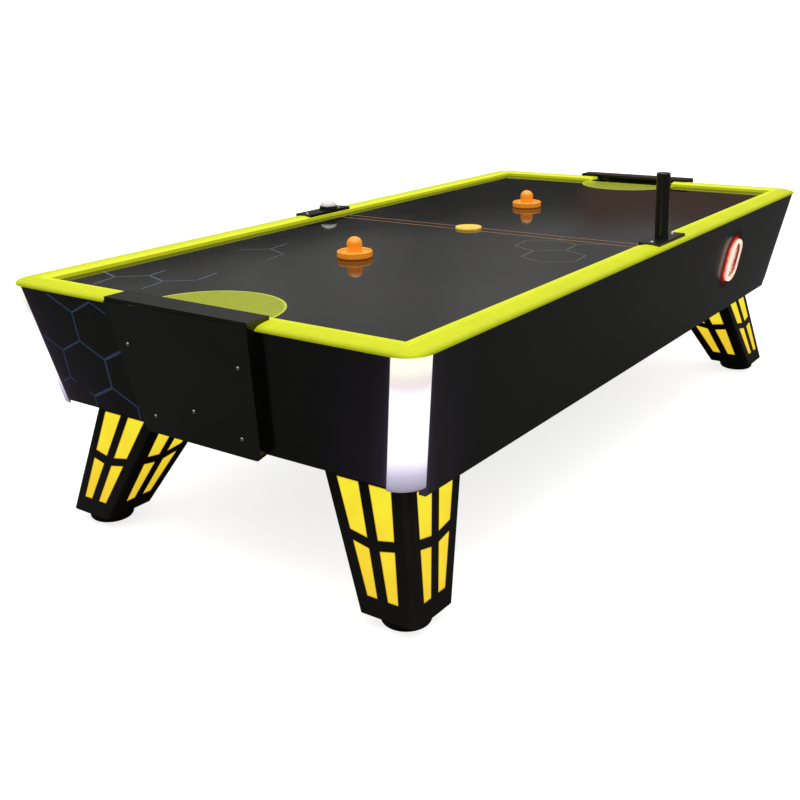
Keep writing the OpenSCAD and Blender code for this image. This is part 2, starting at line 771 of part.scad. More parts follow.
module blower_impeller() {
    r = 122;
    color([0.2, 0.2, 0.22]) translate([0, 0, fan_z + 14]) difference() {
        union() {
            translate([0, 0, 52]) cylinder(r = r, h = 3, $fn = 96);
            translate([0, 0, 30]) cylinder(r = 18, h = 24, $fn = 64);
            difference() {
                cylinder(r = r, h = 3, $fn = 96);
                translate([0, 0, -1]) cylinder(r = 88, h = 5, $fn = 96);
            }
            for (a = [0 : 12 : 348]) rotate([0, 0, a]) translate([r - 30, 0, 2]) rotate([0, 0, 35])
                translate([0, -1, 0]) cube([26, 2, 51]);
        }
        translate([0, 0, 20]) cylinder(r = shaft_r + 0.05, h = 40, $fn = 64);
    }
}

// ---- Mallets and puck ------------------------------------------------------------------------

// A mallet: felt underside, a dished flange with a raised rim, and a knob with a round top.
module mallet() {
    r = mallet_d / 2;
    rotate_extrude($fn = 128) polygon(concat(
        [[0, 0], [r - 4, 0], [r - 0.6, 1.6], [r, 4], [r, 15]],
        arc(r - 4, 15, 4, 10, 170, 8),
        [[r - 9, 13], [r - 14, 10.5], [27, 10], [23.5, 12], [21.8, 16], [21.5, 22], [22, 36]],
        [for (i = [0 : 12]) let (a = i * 7.5) [22 * cos(a), mallet_h - 20 + 20 * sin(a)]]));
}

module mallet_near() {
    color([0.93, 0.6, 0.16]) translate([mallet_x, mallet_near_y, play_z + AIR]) mallet();
}

module mallet_far() {
    color([0.93, 0.6, 0.16]) translate([mallet_x - 10, mallet_far_y, play_z + AIR]) mallet();
}

module puck() {
    r = puck_d / 2;
    color([0.98, 0.72, 0.1]) translate([puck_x, 0, play_z + AIR]) difference() {
        rotate_extrude($fn = 128)
            polygon([[0, 0], [r - 1, 0], [r, 1], [r, puck_t - 1], [r - 1, puck_t], [0, puck_t]]);
        for (s = [0, 1]) translate([0, 0, s > 0 ? puck_t - 0.6 : -1]) difference() {
            cylinder(r = r - 9, h = 1.6, $fn = 96);
            translate([0, 0, -1]) cylinder(r = r - 11, h = 4, $fn = 96);
        }
    }
}

// ---- Repeats and output -----------------------------------------------------------------------

module corner_light_near_left() { at_corner(-1, -1) corner_light(); }
module corner_light_near_right() { at_corner(1, -1) corner_light(); }
module corner_light_far_left() { at_corner(-1, 1) corner_light(); }
module corner_light_far_right() { at_corner(1, 1) corner_light(); }
module leg_near_left() { at_corner(-1, -1) leg(); }
module leg_near_right() { at_corner(1, -1) leg(); }
module leg_far_left() { at_corner(-1, 1) leg(); }
module leg_far_right() { at_corner(1, 1) leg(); }
module leg_lens_near_left() { at_corner(-1, -1) leg_lens(); }
module leg_lens_near_right() { at_corner(1, -1) leg_lens(); }
module leg_lens_far_left() { at_corner(-1, 1) leg_lens(); }
module leg_lens_far_right() { at_corner(1, 1) leg_lens(); }
module foot_near_left() { at_corner(-1, -1) foot(); }
module foot_near_right() { at_corner(1, -1) foot(); }
module foot_far_left() { at_corner(-1, 1) foot(); }
module foot_far_right() { at_corner(1, 1) foot(); }
module goal_plate_near() { goal_plate(); }
module goal_plate_far() { mirror([0, 1, 0]) goal_plate(); }
module goal_front_near() { goal_front(); }
module goal_front_far() { mirror([0, 1, 0]) goal_front(); }
module goal_chute_near() { goal_chute(); }
module goal_chute_far() { mirror([0, 1, 0]) goal_chute(); }

playfield();
plenum_board();
plenum_battens();
cross_members();
side_wall_left();
side_wall_right();
end_wall_near();
end_wall_far();
corner_blocks();
rail_left();
rail_right();
rail_near_left();
rail_near_right();
rail_far_left();
rail_far_right();
corner_light_near_left();
corner_light_near_right();
corner_light_far_left();
corner_light_far_right();
led_strips();
leg_near_left();
leg_near_right();
leg_far_left();
leg_far_right();
leg_lens_near_left();
leg_lens_near_right();
leg_lens_far_left();
leg_lens_far_right();
leg_nut_plates();
leg_bolts();
foot_near_left();
foot_near_right();
foot_far_left();
foot_far_right();
goal_plate_near();
goal_plate_far();
goal_front_near();
goal_front_far();
goal_chute_near();
goal_chute_far();
goal_screws();
post_base_left();
post_base_right();
post();
post_cap();
post_collar();
collar_dome();
post_screws();
button_ring();
start_button();
button_housing();
control_box();
power_inlet();
blower_drum();
blower_motor();
blower_impeller();
mallet_near();
mallet_far();
puck();
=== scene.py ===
"""Air hockey table: the CAD model with its finishes, graphics and small hardware, on a plain floor."""
import json
import math

import bpy
from mathutils import Matrix, Vector

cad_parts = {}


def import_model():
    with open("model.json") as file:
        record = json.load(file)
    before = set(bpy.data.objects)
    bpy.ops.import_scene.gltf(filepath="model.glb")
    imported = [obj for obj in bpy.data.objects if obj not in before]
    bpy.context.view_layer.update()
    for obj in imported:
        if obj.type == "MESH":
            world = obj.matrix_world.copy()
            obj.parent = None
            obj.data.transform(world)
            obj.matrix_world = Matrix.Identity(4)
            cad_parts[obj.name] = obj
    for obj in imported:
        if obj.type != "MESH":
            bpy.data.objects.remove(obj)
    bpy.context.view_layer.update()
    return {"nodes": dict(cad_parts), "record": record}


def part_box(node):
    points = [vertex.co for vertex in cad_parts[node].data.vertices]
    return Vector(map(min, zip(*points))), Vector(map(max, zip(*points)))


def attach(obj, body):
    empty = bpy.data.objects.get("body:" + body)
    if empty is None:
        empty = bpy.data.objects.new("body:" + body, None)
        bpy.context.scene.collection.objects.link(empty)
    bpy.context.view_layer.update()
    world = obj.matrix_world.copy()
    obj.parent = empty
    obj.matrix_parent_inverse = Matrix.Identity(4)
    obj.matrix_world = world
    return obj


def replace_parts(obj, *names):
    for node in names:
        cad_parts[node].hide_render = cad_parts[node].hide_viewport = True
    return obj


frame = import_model()
NODES = frame["nodes"]

# Places, all in metres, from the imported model.
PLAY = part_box("playfield")[1].z
IN_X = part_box("rail_right")[0].x
IN_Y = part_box("rail_far_right")[0].y
OUT_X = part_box("rail_right")[1].x
RAIL_W = OUT_X - IN_X
END_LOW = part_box("end_wall_near")[0].z
TOP_Y = -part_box("end_wall_near")[0].y
TOP_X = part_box("side_wall_right")[1].x
LEAN = 0.21  # how far the walls lean in for each metre down
TILT = math.atan(LEAN)
CORNER_R = 0.06
LIGHT_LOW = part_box("corner_light_near_left")[0].z
BUTTON = (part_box("button_ring")[0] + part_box("button_ring")[1]) / 2
RING_PROUD = 0.014  # how far the crest of the button's ring stands off the wall
CORNERS = {"near_left": (-1, -1), "near_right": (1, -1), "far_left": (-1, 1), "far_right": (1, 1)}


# ---- Shader helpers -------------------------------------------------------------------------

def add_node(tree, kind, ins=(), **props):
    """A new node; each input gets a link or a constant."""
    n = tree.nodes.new(kind)
    for k, v in props.items():
        setattr(n, k, v)
    for k, v in dict(ins).items():
        if isinstance(v, bpy.types.NodeSocket):
            tree.links.new(v, n.inputs[k])
        else:
            n.inputs[k].default_value = v
    return n


def fill_ramp(ramp, stops):
    while len(ramp.elements) < len(stops):
        ramp.elements.new(0.5)
    for e, (pos, color) in zip(ramp.elements, stops):
        e.position, e.color = pos, (*color, 1)


class Mat:
    """A material with short calls for the nodes used here."""

    def __init__(self, name, color=(0.5, 0.5, 0.5), rough=0.5, spec=0.5, metal=0.0):
        self.m = bpy.data.materials.new(name)
        self.m.use_nodes = True
        self.t = self.m.node_tree
        self.p = self.t.nodes["Principled BSDF"]
        i = self.p.inputs
        i["Base Color"].default_value = (*color, 1)
        i["Roughness"].default_value = rough
        i["Specular IOR Level"].default_value = spec
        i["Metallic"].default_value = metal

    def glow(self, power, color=None):
        """Sets the strength of the emission and, where no node drives it, its colour."""
        self.p.inputs["Emission Strength"].default_value = power
        if color is not None:
            self.p.inputs["Emission Color"].default_value = (*color, 1)

    def node(self, kind, ins=(), **props):
        return add_node(self.t, kind, ins, **props)

    def link(self, out, name):
        self.t.links.new(out, self.p.inputs[name])

    def coords(self):
        return self.node("ShaderNodeTexCoord").outputs["Object"]

    def noise(self, scale, detail=3, rough=0.5, stretch=(1, 1, 1), coords=None):
        """A noise value; scale is in features per metre."""
        v = self.node("ShaderNodeMapping", {0: coords or self.coords(), 3: stretch})
        n = self.node("ShaderNodeTexNoise", {"Vector": v.outputs[0], "Scale": scale, "Detail": detail,
                                             "Roughness": rough})
        return n.outputs["Fac"]

    def math(self, op, a, b=0.0, c=0.0, clamp=False):
        n = self.node("ShaderNodeMath", {0: a, 1: b, 2: c}, operation=op)
        n.use_clamp = clamp
        return n.outputs[0]

    def ramp(self, fac, stops):
        n = self.node("ShaderNodeValToRGB", {0: fac})
        fill_ramp(n.color_ramp, stops)
        return n.outputs[0]

    def remap(self, v, a, b, lo, hi, smooth=False):
        ins = {"Value": v, "From Min": a, "From Max": b, "To Min": lo, "To Max": hi}
        kind = "SMOOTHSTEP" if smooth else "LINEAR"
        return self.node("ShaderNodeMapRange", ins, interpolation_type=kind).outputs[0]

    def grain(self, scale, lo, hi, detail=3, a=0.3, b=0.7, **kw):
        """Noise that wanders between lo and hi."""
        return self.remap(self.noise(scale, detail, **kw), a, b, lo, hi)

    def axis(self, which, coords=None):
        return self.node("ShaderNodeSeparateXYZ", {0: coords or self.coords()}).outputs[which]

    def mix(self, fac, a, b):
        a, b = (v if isinstance(v, bpy.types.NodeSocket) else (*v, 1) for v in (a, b))
        return self.node("ShaderNodeMix", {0: fac, 6: a, 7: b}, data_type="RGBA").outputs[2]

    def bump(self, height, strength=0.2, distance=0.0005):
        n = self.node("ShaderNodeBump", {"Height": height, "Strength": strength, "Distance": distance})
        self.link(n.outputs[0], "Normal")

    def vary(self, lo, hi, scale, detail=3):
        """Lets the roughness wander between lo and hi."""
        self.link(self.grain(scale, lo, hi, detail), "Roughness")

    def tone(self, scale, a, b, detail=4, hi=0.7, lo=0.35):
        """Lets the base colour wander between a and b."""
        self.link(self.mix(self.grain(scale, 0, 1, detail, lo, hi), a, b), "Base Color")

    def off_walls(self):
        """Distances along X and Y that a point lies outside the straight part of the leaning walls."""
        xyz = self.coords()
        lean = self.math("MULTIPLY_ADD", self.axis("Z", xyz), LEAN, -LEAN * PLAY - CORNER_R)
        return [self.math("SUBTRACT", self.math("ABSOLUTE", self.axis(a, xyz)), self.math("ADD", lean, top))
                for a, top in (("X", TOP_X), ("Y", TOP_Y))]


def dim(color, k):
    return tuple(c * k for c in color)


def srgb(r, g, b):
    return tuple(((c / 255 + 0.055) / 1.055) ** 2.4 if c > 10 else c / 255 / 12.92 for c in (r, g, b))


# ---- Materials ------------------------------------------------------------------------------

def black_gloss(name, tone, rough, spec, peel=0.15):
    """Gloss black laminate or moulding: slight orange peel, dust haze and uneven gloss."""
    m = Mat(name, tone, rough, spec)
    m.tone(7, tone, tuple(c * 1.6 + 0.001 for c in tone), hi=0.75)
    m.vary(rough * 0.8, rough * 1.35, 11, 4)
    m.bump(m.noise(900, 2), peel, 0.00006)
    return m.m


def cabinet():
    """Gloss black board. Beside the lit corners it carries a faint violet spill of their light."""
    reach = 0.2
    m = Mat("cabinet", (0.005, 0.005, 0.0048), 0.16, 0.36)
    dx, dy = (m.math("MULTIPLY", v, -1.0) for v in m.off_walls())
    d = m.math("MAXIMUM", dx, dy)
    stops = [(0.0, (0.03, 0.022, 0.04)), (0.06, (0.013, 0.009, 0.017)), (0.25, (0.005, 0.0035, 0.0065)),
             (1.0, (0, 0, 0))]
    m.link(m.ramp(m.math("DIVIDE", d, reach), stops), "Emission Color")
    m.link(m.remap(m.axis("Z"), END_LOW, PLAY, 1.0, 0.35), "Emission Strength")
    m.tone(7, (0.0048, 0.0048, 0.0044), (0.0085, 0.0082, 0.0076), hi=0.75)
    m.vary(0.13, 0.21, 11, 4)
    m.bump(m.noise(900, 2), 0.15, 0.00006)
    return m.m


def play_surface():
    """Gloss black laminate with rows of small air holes."""
    pitch, hole_r = 0.0254, 0.00075
    soft = hole_r / 5
    m = Mat("play_surface", srgb(30, 29, 29), 0.05, 0.5)
    half = pitch / 2
    cell = m.node("ShaderNodeVectorMath", {0: m.coords(), 1: (half, half, 1), 2: (-half, -half, -1)},
                  operation="WRAP").outputs[0]
    flat = m.node("ShaderNodeVectorMath", {0: cell, 1: (1, 1, 0)}, operation="MULTIPLY").outputs[0]
    r = m.node("ShaderNodeVectorMath", {0: flat}, operation="LENGTH").outputs["Value"]
    hole = m.remap(r, hole_r - soft, hole_r + soft, 1, 0, True)
    haze = m.remap(m.noise(3.2, 4, 0.55), 0.3, 0.75, 0, 1)
    base = m.mix(haze, srgb(17, 17, 18), srgb(27, 26, 25))
    # The holes are painted near-black: painted shade inside them.
    m.link(m.mix(hole, base, (0.001, 0.001, 0.001)), "Base Color")
    m.vary(0.035, 0.085, 14, 5)
    m.bump(m.math("MULTIPLY", hole, -1.0), 0.6, 0.0006)
    return m.m


def timber(name, a, b, scale=1.0):
    m = Mat(name, a, 0.7, 0.25)
    broad = m.noise(16 * scale, 6, 0.6, stretch=(9, 0.6, 9))
    fibre = m.noise(160 * scale, 3, 0.6, stretch=(6, 0.5, 6))
    col = m.mix(m.remap(broad, 0.35, 0.65, 0, 1), a, b)
    m.link(m.mix(m.remap(fibre, 0.55, 0.75, 0, 0.5), col, dim(a, 0.5)), "Base Color")
    m.link(m.remap(fibre, 0.3, 0.7, 0.6, 0.85), "Roughness")
    m.bump(fibre, 0.3, 0.0004)
    return m.m


def plastic(name, color, rough=0.35, spec=0.5):
    m = Mat(name, color, rough, spec)
    m.tone(23, color, dim(color, 0.86))
    m.vary(rough * 0.85, rough * 1.2, 60)
    m.bump(m.noise(1500, 2), 0.12, 0.00005)
    return m.m


def painted_glow_plastic(name, color, emit, power):
    """Plastic with a painted glow: a fixed emission brightens it though it is no lamp."""
    m = Mat(name, color, 0.22, 0.5)
    m.tone(23, color, dim(color, 0.88))
    m.vary(0.18, 0.3, 60)
    m.bump(m.noise(1500, 2), 0.12, 0.00005)
    m.glow(power, emit)
    return m.m


def metal(name, color, rough):
    m = Mat(name, color, rough, 0.5, metal=1.0)
    streak = m.noise(300, 3, 0.6)
    m.link(m.mix(m.remap(streak, 0.3, 0.7, 0, 1), color, dim(color, 0.75)), "Base Color")
    m.link(m.remap(streak, 0.3, 0.7, rough * 0.7, rough * 1.4), "Roughness")
    m.bump(streak, 0.1, 0.00005)
    return m.m


def galvanised(name):
    m = Mat(name, (0.5, 0.5, 0.52), 0.35, metal=1.0)
    v = m.node("ShaderNodeTexVoronoi", {"Vector": m.coords(), "Scale": 70}).outputs["Color"]
    g = m.node("ShaderNodeSeparateColor", {0: v}).outputs[0]
    m.link(m.mix(g, (0.42, 0.43, 0.45), (0.62, 0.63, 0.65)), "Base Color")
    m.link(m.remap(g, 0, 1, 0.25, 0.5), "Roughness")
    m.bump(m.noise(200, 2), 0.06, 0.0001)
    return m.m


def lit_rail():
    """Moulded diffuser lit from inside, with the shading and highlights of its profile painted into the
    emission colour. d is the distance from the rail's inner edge.
    """
    m = Mat("lit_rail", srgb(118, 125, 4), 0.36, 0.14)
    xyz = m.coords()
    ax, ay = (m.math("ABSOLUTE", m.axis(a, xyz)) for a in "XY")
    d = m.math("MAXIMUM", m.math("SUBTRACT", ax, IN_X), m.math("SUBTRACT", ay, IN_Y))
    # Inner face, inner bevel, ridge, outer slope, lower outer edge: painted shade on the inner face and the
    # lower outer edge, painted highlights on the inner bevel and along the ridge.
    stops = [(0.0, srgb(176, 182, 26)), (0.012, srgb(206, 212, 36)),
             (0.03, srgb(240, 247, 52)), (0.2, srgb(238, 245, 54)), (0.29, srgb(212, 220, 30)),
             (0.335, srgb(240, 248, 62)),
             (0.40, srgb(214, 222, 24)), (0.62, srgb(214, 222, 22)), (0.85, srgb(208, 216, 22)),
             (0.96, srgb(178, 186, 14)), (1.0, srgb(152, 160, 8))]
    m.link(m.ramp(m.math("DIVIDE", d, RAIL_W), stops), "Emission Color")
    m.link(m.remap(m.noise(9, 2, 0.4), 0.3, 0.7, 0.77, 0.83), "Emission Strength")
    m.tone(40, srgb(108, 114, 3), srgb(122, 130, 5), 3, lo=0.3)
    m.bump(m.noise(700, 2), 0.08, 0.0001)
    return m.m


def corner_diffuser():
    """Opal shell, overexposed in the middle and falling off towards its ends and its sides."""
    seam_w = 0.0022
    m = Mat("corner_diffuser", (0.35, 0.35, 0.36), 0.25, 0.5)
    t = m.remap(m.axis("Z"), LIGHT_LOW, PLAY, 0, 1)
    stops = [(0.0, srgb(96, 90, 104)), (0.012, srgb(132, 126, 146)), (0.05, srgb(156, 150, 174)),
             (0.12, srgb(186, 181, 206)), (0.19, srgb(226, 223, 241)), (0.26, srgb(255, 254, 255)),
             (0.7, srgb(255, 255, 255)), (0.76, srgb(238, 234, 238)), (0.8, srgb(224, 213, 217)),
             (0.84, srgb(228, 217, 211)), (0.9, srgb(240, 236, 222)), (1.0, srgb(255, 252, 228))]
    seam = m.remap(m.math("MINIMUM", *m.off_walls()), 0.0, seam_w, 1, 0, True)
    m.link(m.mix(seam, m.ramp(t, stops), srgb(96, 92, 112)), "Emission Color")
    m.link(m.grain(12, 1.0, 1.1, 2), "Emission Strength")
    m.bump(m.noise(500, 2), 0.05, 0.0001)
    return m.m


def led():
    """Light bar, warm white."""
    inner, outer = srgb(255, 250, 225), srgb(190, 180, 150)
    m = Mat("led", dim(outer, 0.4), 0.4, 0.4)
    g = m.math("ADD", m.grain(60, -0.06, 0.06), 0.0, clamp=True)
    mid = tuple((a + b) / 2 for a, b in zip(inner, outer))
    m.link(m.ramp(g, [(0.0, outer), (0.45, mid), (1.0, inner)]), "Emission Color")
    m.glow(1.0)
    m.bump(m.noise(900, 2), 0.05, 0.0001)
    return m.m


def window_glow():
    """Yellow diffuser: paler at the top, deeper lower down, amber only in the last millimetres."""
    m = Mat("window_diffuser", (0.3, 0.24, 0.02), 0.35, 0.4)
    g = m.node("ShaderNodeAttribute", attribute_name="glow").outputs["Fac"]
    z = m.remap(m.axis("Z"), 0.07, 0.3, 0, 1)
    patch = m.remap(m.noise(14, 2, 0.4), 0.35, 0.7, -0.12, 0.2)
    stops = [(0.0, srgb(232, 196, 44)), (0.5, srgb(240, 212, 46)), (1.0, srgb(248, 232, 52))]
    body = m.ramp(m.math("ADD", z, patch, clamp=True), stops)
    m.link(m.mix(m.remap(g, 0.0, 0.75, 0, 1), srgb(196, 138, 20), body), "Emission Color")
    m.glow(0.96)
    m.bump(m.noise(900, 2), 0.05, 0.0001)
    return m.m


def ring_glow():
    """Lit ring of the start button: hot on its crest, red where it meets the wall."""
    m = Mat("button_glow", (0.3, 0.03, 0.02), 0.25, 0.5)
    x, y, z = (m.axis(a) for a in "XYZ")
    proud = m.math("SUBTRACT", x, m.math("MULTIPLY_ADD", z, LEAN, TOP_X - LEAN * PLAY))
    side = m.remap(m.math("SUBTRACT", y, BUTTON.y), -0.045, 0.045, 0.05, -0.3)
    t = m.math("ADD", m.remap(proud, 0.0, RING_PROUD, 0, 1), side)
    t = m.math("ADD", t, m.grain(70, -0.12, 0.12), clamp=True)
    stops = [(0.0, srgb(150, 18, 24)), (0.3, srgb(226, 70, 60)), (0.6, srgb(255, 190, 160)),
             (0.85, srgb(255, 240, 222))]
    m.link(m.ramp(t, stops), "Emission Color")
    m.glow(1.0)
    m.bump(m.noise(500, 2), 0.06, 0.0001)
    return m.m


def lit_dome():
    """Tinted dome over the start lamp: dark above, glowing through below."""
    m = Mat("button_cap", (0.03, 0.012, 0.012), 0.12, 0.5)
    xyz = m.coords()
    low = m.remap(m.axis("Z", xyz), BUTTON.z - 0.055, BUTTON.z + 0.01, 1, 0)
    left = m.remap(m.axis("Y", xyz), BUTTON.y - 0.034, BUTTON.y + 0.006, 1.25, 0)
    cells = m.node("ShaderNodeTexVoronoi", {"Vector": xyz, "Scale": 60}, feature="DISTANCE_TO_EDGE")
    crack = m.math("MULTIPLY", m.remap(cells.outputs[0], 0.03, 0.1, -0.75, 0, True), low)
    t = m.math("ADD", m.math("MAXIMUM", m.math("MULTIPLY", low, 0.9), left), crack)
    t = m.math("ADD", t, m.grain(75, -0.12, 0.12), clamp=True)
    stops = [(0.0, srgb(48, 24, 22)), (0.25, srgb(92, 34, 32)), (0.5, srgb(190, 84, 74)),
             (0.75, srgb(250, 176, 146)), (1.0, srgb(255, 232, 208))]
    m.link(m.ramp(t, stops), "Emission Color")
    m.glow(0.92)
    m.bump(m.noise(120, 3), 0.1, 0.0004)
    return m.m


def halo():
    """Wall round the start button, lit red by the ring; glow is 1 at the ring and 0 further out."""
    m = Mat("halo", (0.0065, 0.0064, 0.006), 0.5, 0.1)
    g = m.node("ShaderNodeAttribute", attribute_name="glow").outputs["Fac"]
    g = m.math("ADD", g, m.grain(25, -0.02, 0.02), clamp=True)
    stops = [(0.0, (0, 0, 0)), (0.25, srgb(18, 4, 5)), (0.55, srgb(64, 9, 13)), (1.0, srgb(190, 24, 30))]
    m.link(m.ramp(g, stops), "Emission Color")
    m.glow(1.0)
    m.link(m.remap(g, 0.02, 0.35, 0.17, 0.5), "Roughness")
    m.link(m.remap(g, 0.02, 0.35, 0.36, 0.1), "Specular IOR Level")
    return m.m


def flat_print(name, color, rough=0.2, spec=0.4, emit=0.0):
    m = Mat(name, color, rough, spec)
    m.tone(35, color, dim(color, 0.88))
    m.vary(rough * 0.8, rough * 1.3, 50)
    # emit gives the print a painted glow, though a print gives off no light.
    if emit:
        m.glow(emit, color)
    return m.m


MAT = {
    "play_surface": play_surface(),
    "timber": timber("timber", (0.42, 0.27, 0.13), (0.55, 0.38, 0.2)),
    "board": timber("board", (0.2, 0.13, 0.07), (0.27, 0.18, 0.1), 2),
    "cabinet": cabinet(),
    "lit_rail": lit_rail(),
    "corner_diffuser": corner_diffuser(),
    "led": led(),
    "leg_shell": black_gloss("leg_shell", (0.0065, 0.006, 0.0052), 0.3, 0.4, 0.3),
    "window_diffuser": window_glow(),
    "hardware": metal("hardware", (0.62, 0.62, 0.65), 0.22),
    "foot_pad": plastic("foot_pad", (0.008, 0.008, 0.008), 0.45, 0.35),
    "goal_cover": black_gloss("goal_cover", (0.0062, 0.0064, 0.006), 0.17, 0.5),
    "inner_black": plastic("inner_black", (0.012, 0.012, 0.012), 0.5, 0.4),
    "post_black": black_gloss("post_black", (0.007, 0.007, 0.007), 0.22, 0.5),
    "dome_white": plastic("dome_white", (0.9, 0.9, 0.9), 0.25),
    "button_glow": ring_glow(),
    "button_cap": lit_dome(),
    "halo": halo(),
    "sheet_steel": galvanised("sheet_steel"),
    "motor": plastic("motor", (0.07, 0.075, 0.08), 0.4),
    "fan": plastic("fan", (0.02, 0.02, 0.022), 0.45),
    # Mallets and puck carry a painted glow: emission though they are no lamps.
    "mallet_orange": painted_glow_plastic("mallet_orange", srgb(255, 172, 50), srgb(255, 128, 24), 0.22),
    "puck_orange": painted_glow_plastic("puck_orange", srgb(255, 214, 84), srgb(250, 206, 84), 0.3),
    # The prints below carry a painted glow through emit.
    "crease": flat_print("crease", srgb(156, 166, 34), spec=0.45, emit=0.2),
    "crease_edge": flat_print("crease_edge", srgb(190, 200, 62), spec=0.45, emit=0.25),
    "copper_line": flat_print("copper_line", srgb(176, 120, 74)),
    "hex_line": flat_print("hex_line", srgb(50, 64, 94), emit=0.35),
    "hex_bold": flat_print("hex_bold", srgb(58, 64, 96), emit=0.35),
    "hex_pale": flat_print("hex_pale", srgb(84, 90, 106), emit=0.3),
    "hex_grey": flat_print("hex_grey", srgb(92, 95, 78), emit=0.2),
}

# ---- CAD nodes ------------------------------------------------------------------------------

for entry in frame["record"]["subparts"]:
    ob = NODES[entry["node"]]
    slot = entry["material_slot"]
    if entry["node"] == "plenum_board":
        slot = "board"
    ob.data.materials.clear()
    ob.data.materials.append(MAT[slot])
    ob.data.polygons.foreach_set("use_smooth", [True] * len(ob.data.polygons))
    ob.data.set_sharp_from_angle(angle=math.radians(31))


# ---- Mesh helpers ---------------------------------------------------------------------------

def mesh(name, verts, faces, mats, smooth=None, index=None, slot=None, glow=None):
    """A piece that rides on the table; smooth is the angle, in degrees, beyond which an edge stays sharp."""
    me = bpy.data.meshes.new(name)
    me.from_pydata([tuple(v) for v in verts], [], [tuple(f) for f in faces])
    for k in (mats if isinstance(mats, (list, tuple)) else [mats]):
        me.materials.append(MAT[k])
    if index:
        me.polygons.foreach_set("material_index", index)
    if glow is not None:
        me.attributes.new("glow", "FLOAT", "POINT").data.foreach_set("value", glow)
    me.validate()
    if smooth is not None:
        me.polygons.foreach_set("use_smooth", [True] * len(me.polygons))
        me.set_sharp_from_angle(angle=math.radians(smooth))
    o = bpy.data.objects.new(name, me)
    bpy.context.collection.objects.link(o)
    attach(o, "table")
    return o


def frame_at(origin, ex, ey, ez):
    """Matrix of a local frame."""
    m = Matrix((ex, ey, ez)).transposed().to_4x4()
    m.translation = origin
    return m


def near_frame(x, z, sy=-1):
    """On an end wall: +X of the frame along the wall, +Y up the wall, +Z out of it."""
    y = TOP_Y - LEAN * (PLAY - z)
    up = Vector((0, sy * math.sin(TILT), math.cos(TILT)))
    out = Vector((0, sy * math.cos(TILT), -math.sin(TILT)))
    return frame_at(Vector((x, sy * y, z)), up.cross(out), up, out)


def right_frame(y, z):
    """On the right-hand wall: +X of the frame up the table's length, +Y up the wall, +Z out."""
    x = TOP_X - LEAN * (PLAY - z)
    up = Vector((math.sin(TILT), 0, math.cos(TILT)))
    out = Vector((math.cos(TILT), 0, -math.sin(TILT)))
    return frame_at(Vector((x, y, z)), up.cross(out), up, out)


class Build:
    """Collects vertices and faces of one piece."""

    def __init__(self):
        self.v, self.f, self.i = [], [], []

    def add(self, verts, faces, mat=0, m=None):
        k = len(self.v)
        self.v += [(m @ Vector(p)) if m is not None else Vector(p) for p in verts]
        self.f += [tuple(a + k for a in f) for f in faces]
        self.i += [mat] * len(faces)

    def prism(self, outline, h0, h1, m=None):
        """Straight prism of a convex outline."""
        n = len(outline)
        vs = [(x, y, h) for h in (h0, h1) for x, y in outline]
        fs = [(j, (j + 1) % n, n + (j + 1) % n, n + j) for j in range(n)]
        fs += [tuple(range(n - 1, -1, -1)), tuple(n + j for j in range(n))]
        self.add(vs, fs, 0, m)

    def block(self, lo, hi, m=None):
        self.prism([(lo[0], lo[1]), (hi[0], lo[1]), (hi[0], hi[1]), (lo[0], hi[1])], lo[2], hi[2], m)

    def ribbon(self, pts, width, h, m=None, mat=0):
        """A flat strip of constant width along a polyline in the frame's XY plane."""
        n = len(pts)
        ls, rs = [], []
        for i, p in enumerate(pts):
            a = Vector(pts[max(i - 1, 0)])
            b = Vector(pts[min(i + 1, n - 1)])
            d = (b - a).normalized()
            q = Vector((-d.y, d.x)) * width / 2
            ls.append((p[0] + q.x, p[1] + q.y, h))
            rs.append((p[0] - q.x, p[1] - q.y, h))
        self.add(ls + rs, [(i, n + i, n + i + 1, i + 1) for i in range(n - 1)], mat, m)

    def done(self, name, mats, slot):
        return mesh(name, self.v, self.f, mats, 35, self.i, slot)


def arc2(r, n):
    """Points of a half circle above the X axis."""
    return [(r * math.cos(math.pi * i / n), r * math.sin(math.pi * i / n)) for i in range(n + 1)]


# ---- Prints on the playfield ----------------------------------------------------------------

PRINT_H = 0.00012
floor_m = Matrix.Translation((0, 0, PLAY + PRINT_H))
LINE_APART, LINE_W = 0.045, 0.006
LINE_GAP = 0.002

lines = Build()
for s in (-1, 1):
    y = s * LINE_APART / 2
    lines.block((-IN_X + LINE_GAP, y - LINE_W / 2, 0), (IN_X - LINE_GAP, y + LINE_W / 2, 0.0001), floor_m)
lines.done("centre_lines", "copper_line", slot="play_surface")

CREASE_R = 0.186
CREASE_RIM = 0.006
for name, s in (("near", -1), ("far", 1)):
    b = Build()
    rim = arc2(CREASE_R, 64)
    inner = arc2(CREASE_R - CREASE_RIM, 64)
    m = floor_m @ Matrix.Translation((0, s * IN_Y, 0)) @ Matrix.Rotation(math.pi if s > 0 else 0, 4, "Z")
    n = len(rim)
    b.add([(x, y, 0) for x, y in inner + rim],
          [tuple(range(n))] + [(i, n + i, n + i + 1, i + 1) for i in range(n - 1)], 0, m)
    b.i = [0] + [1] * (n - 1)
    b.done("goal_crease_" + name, ["crease", "crease_edge"], slot="play_surface")


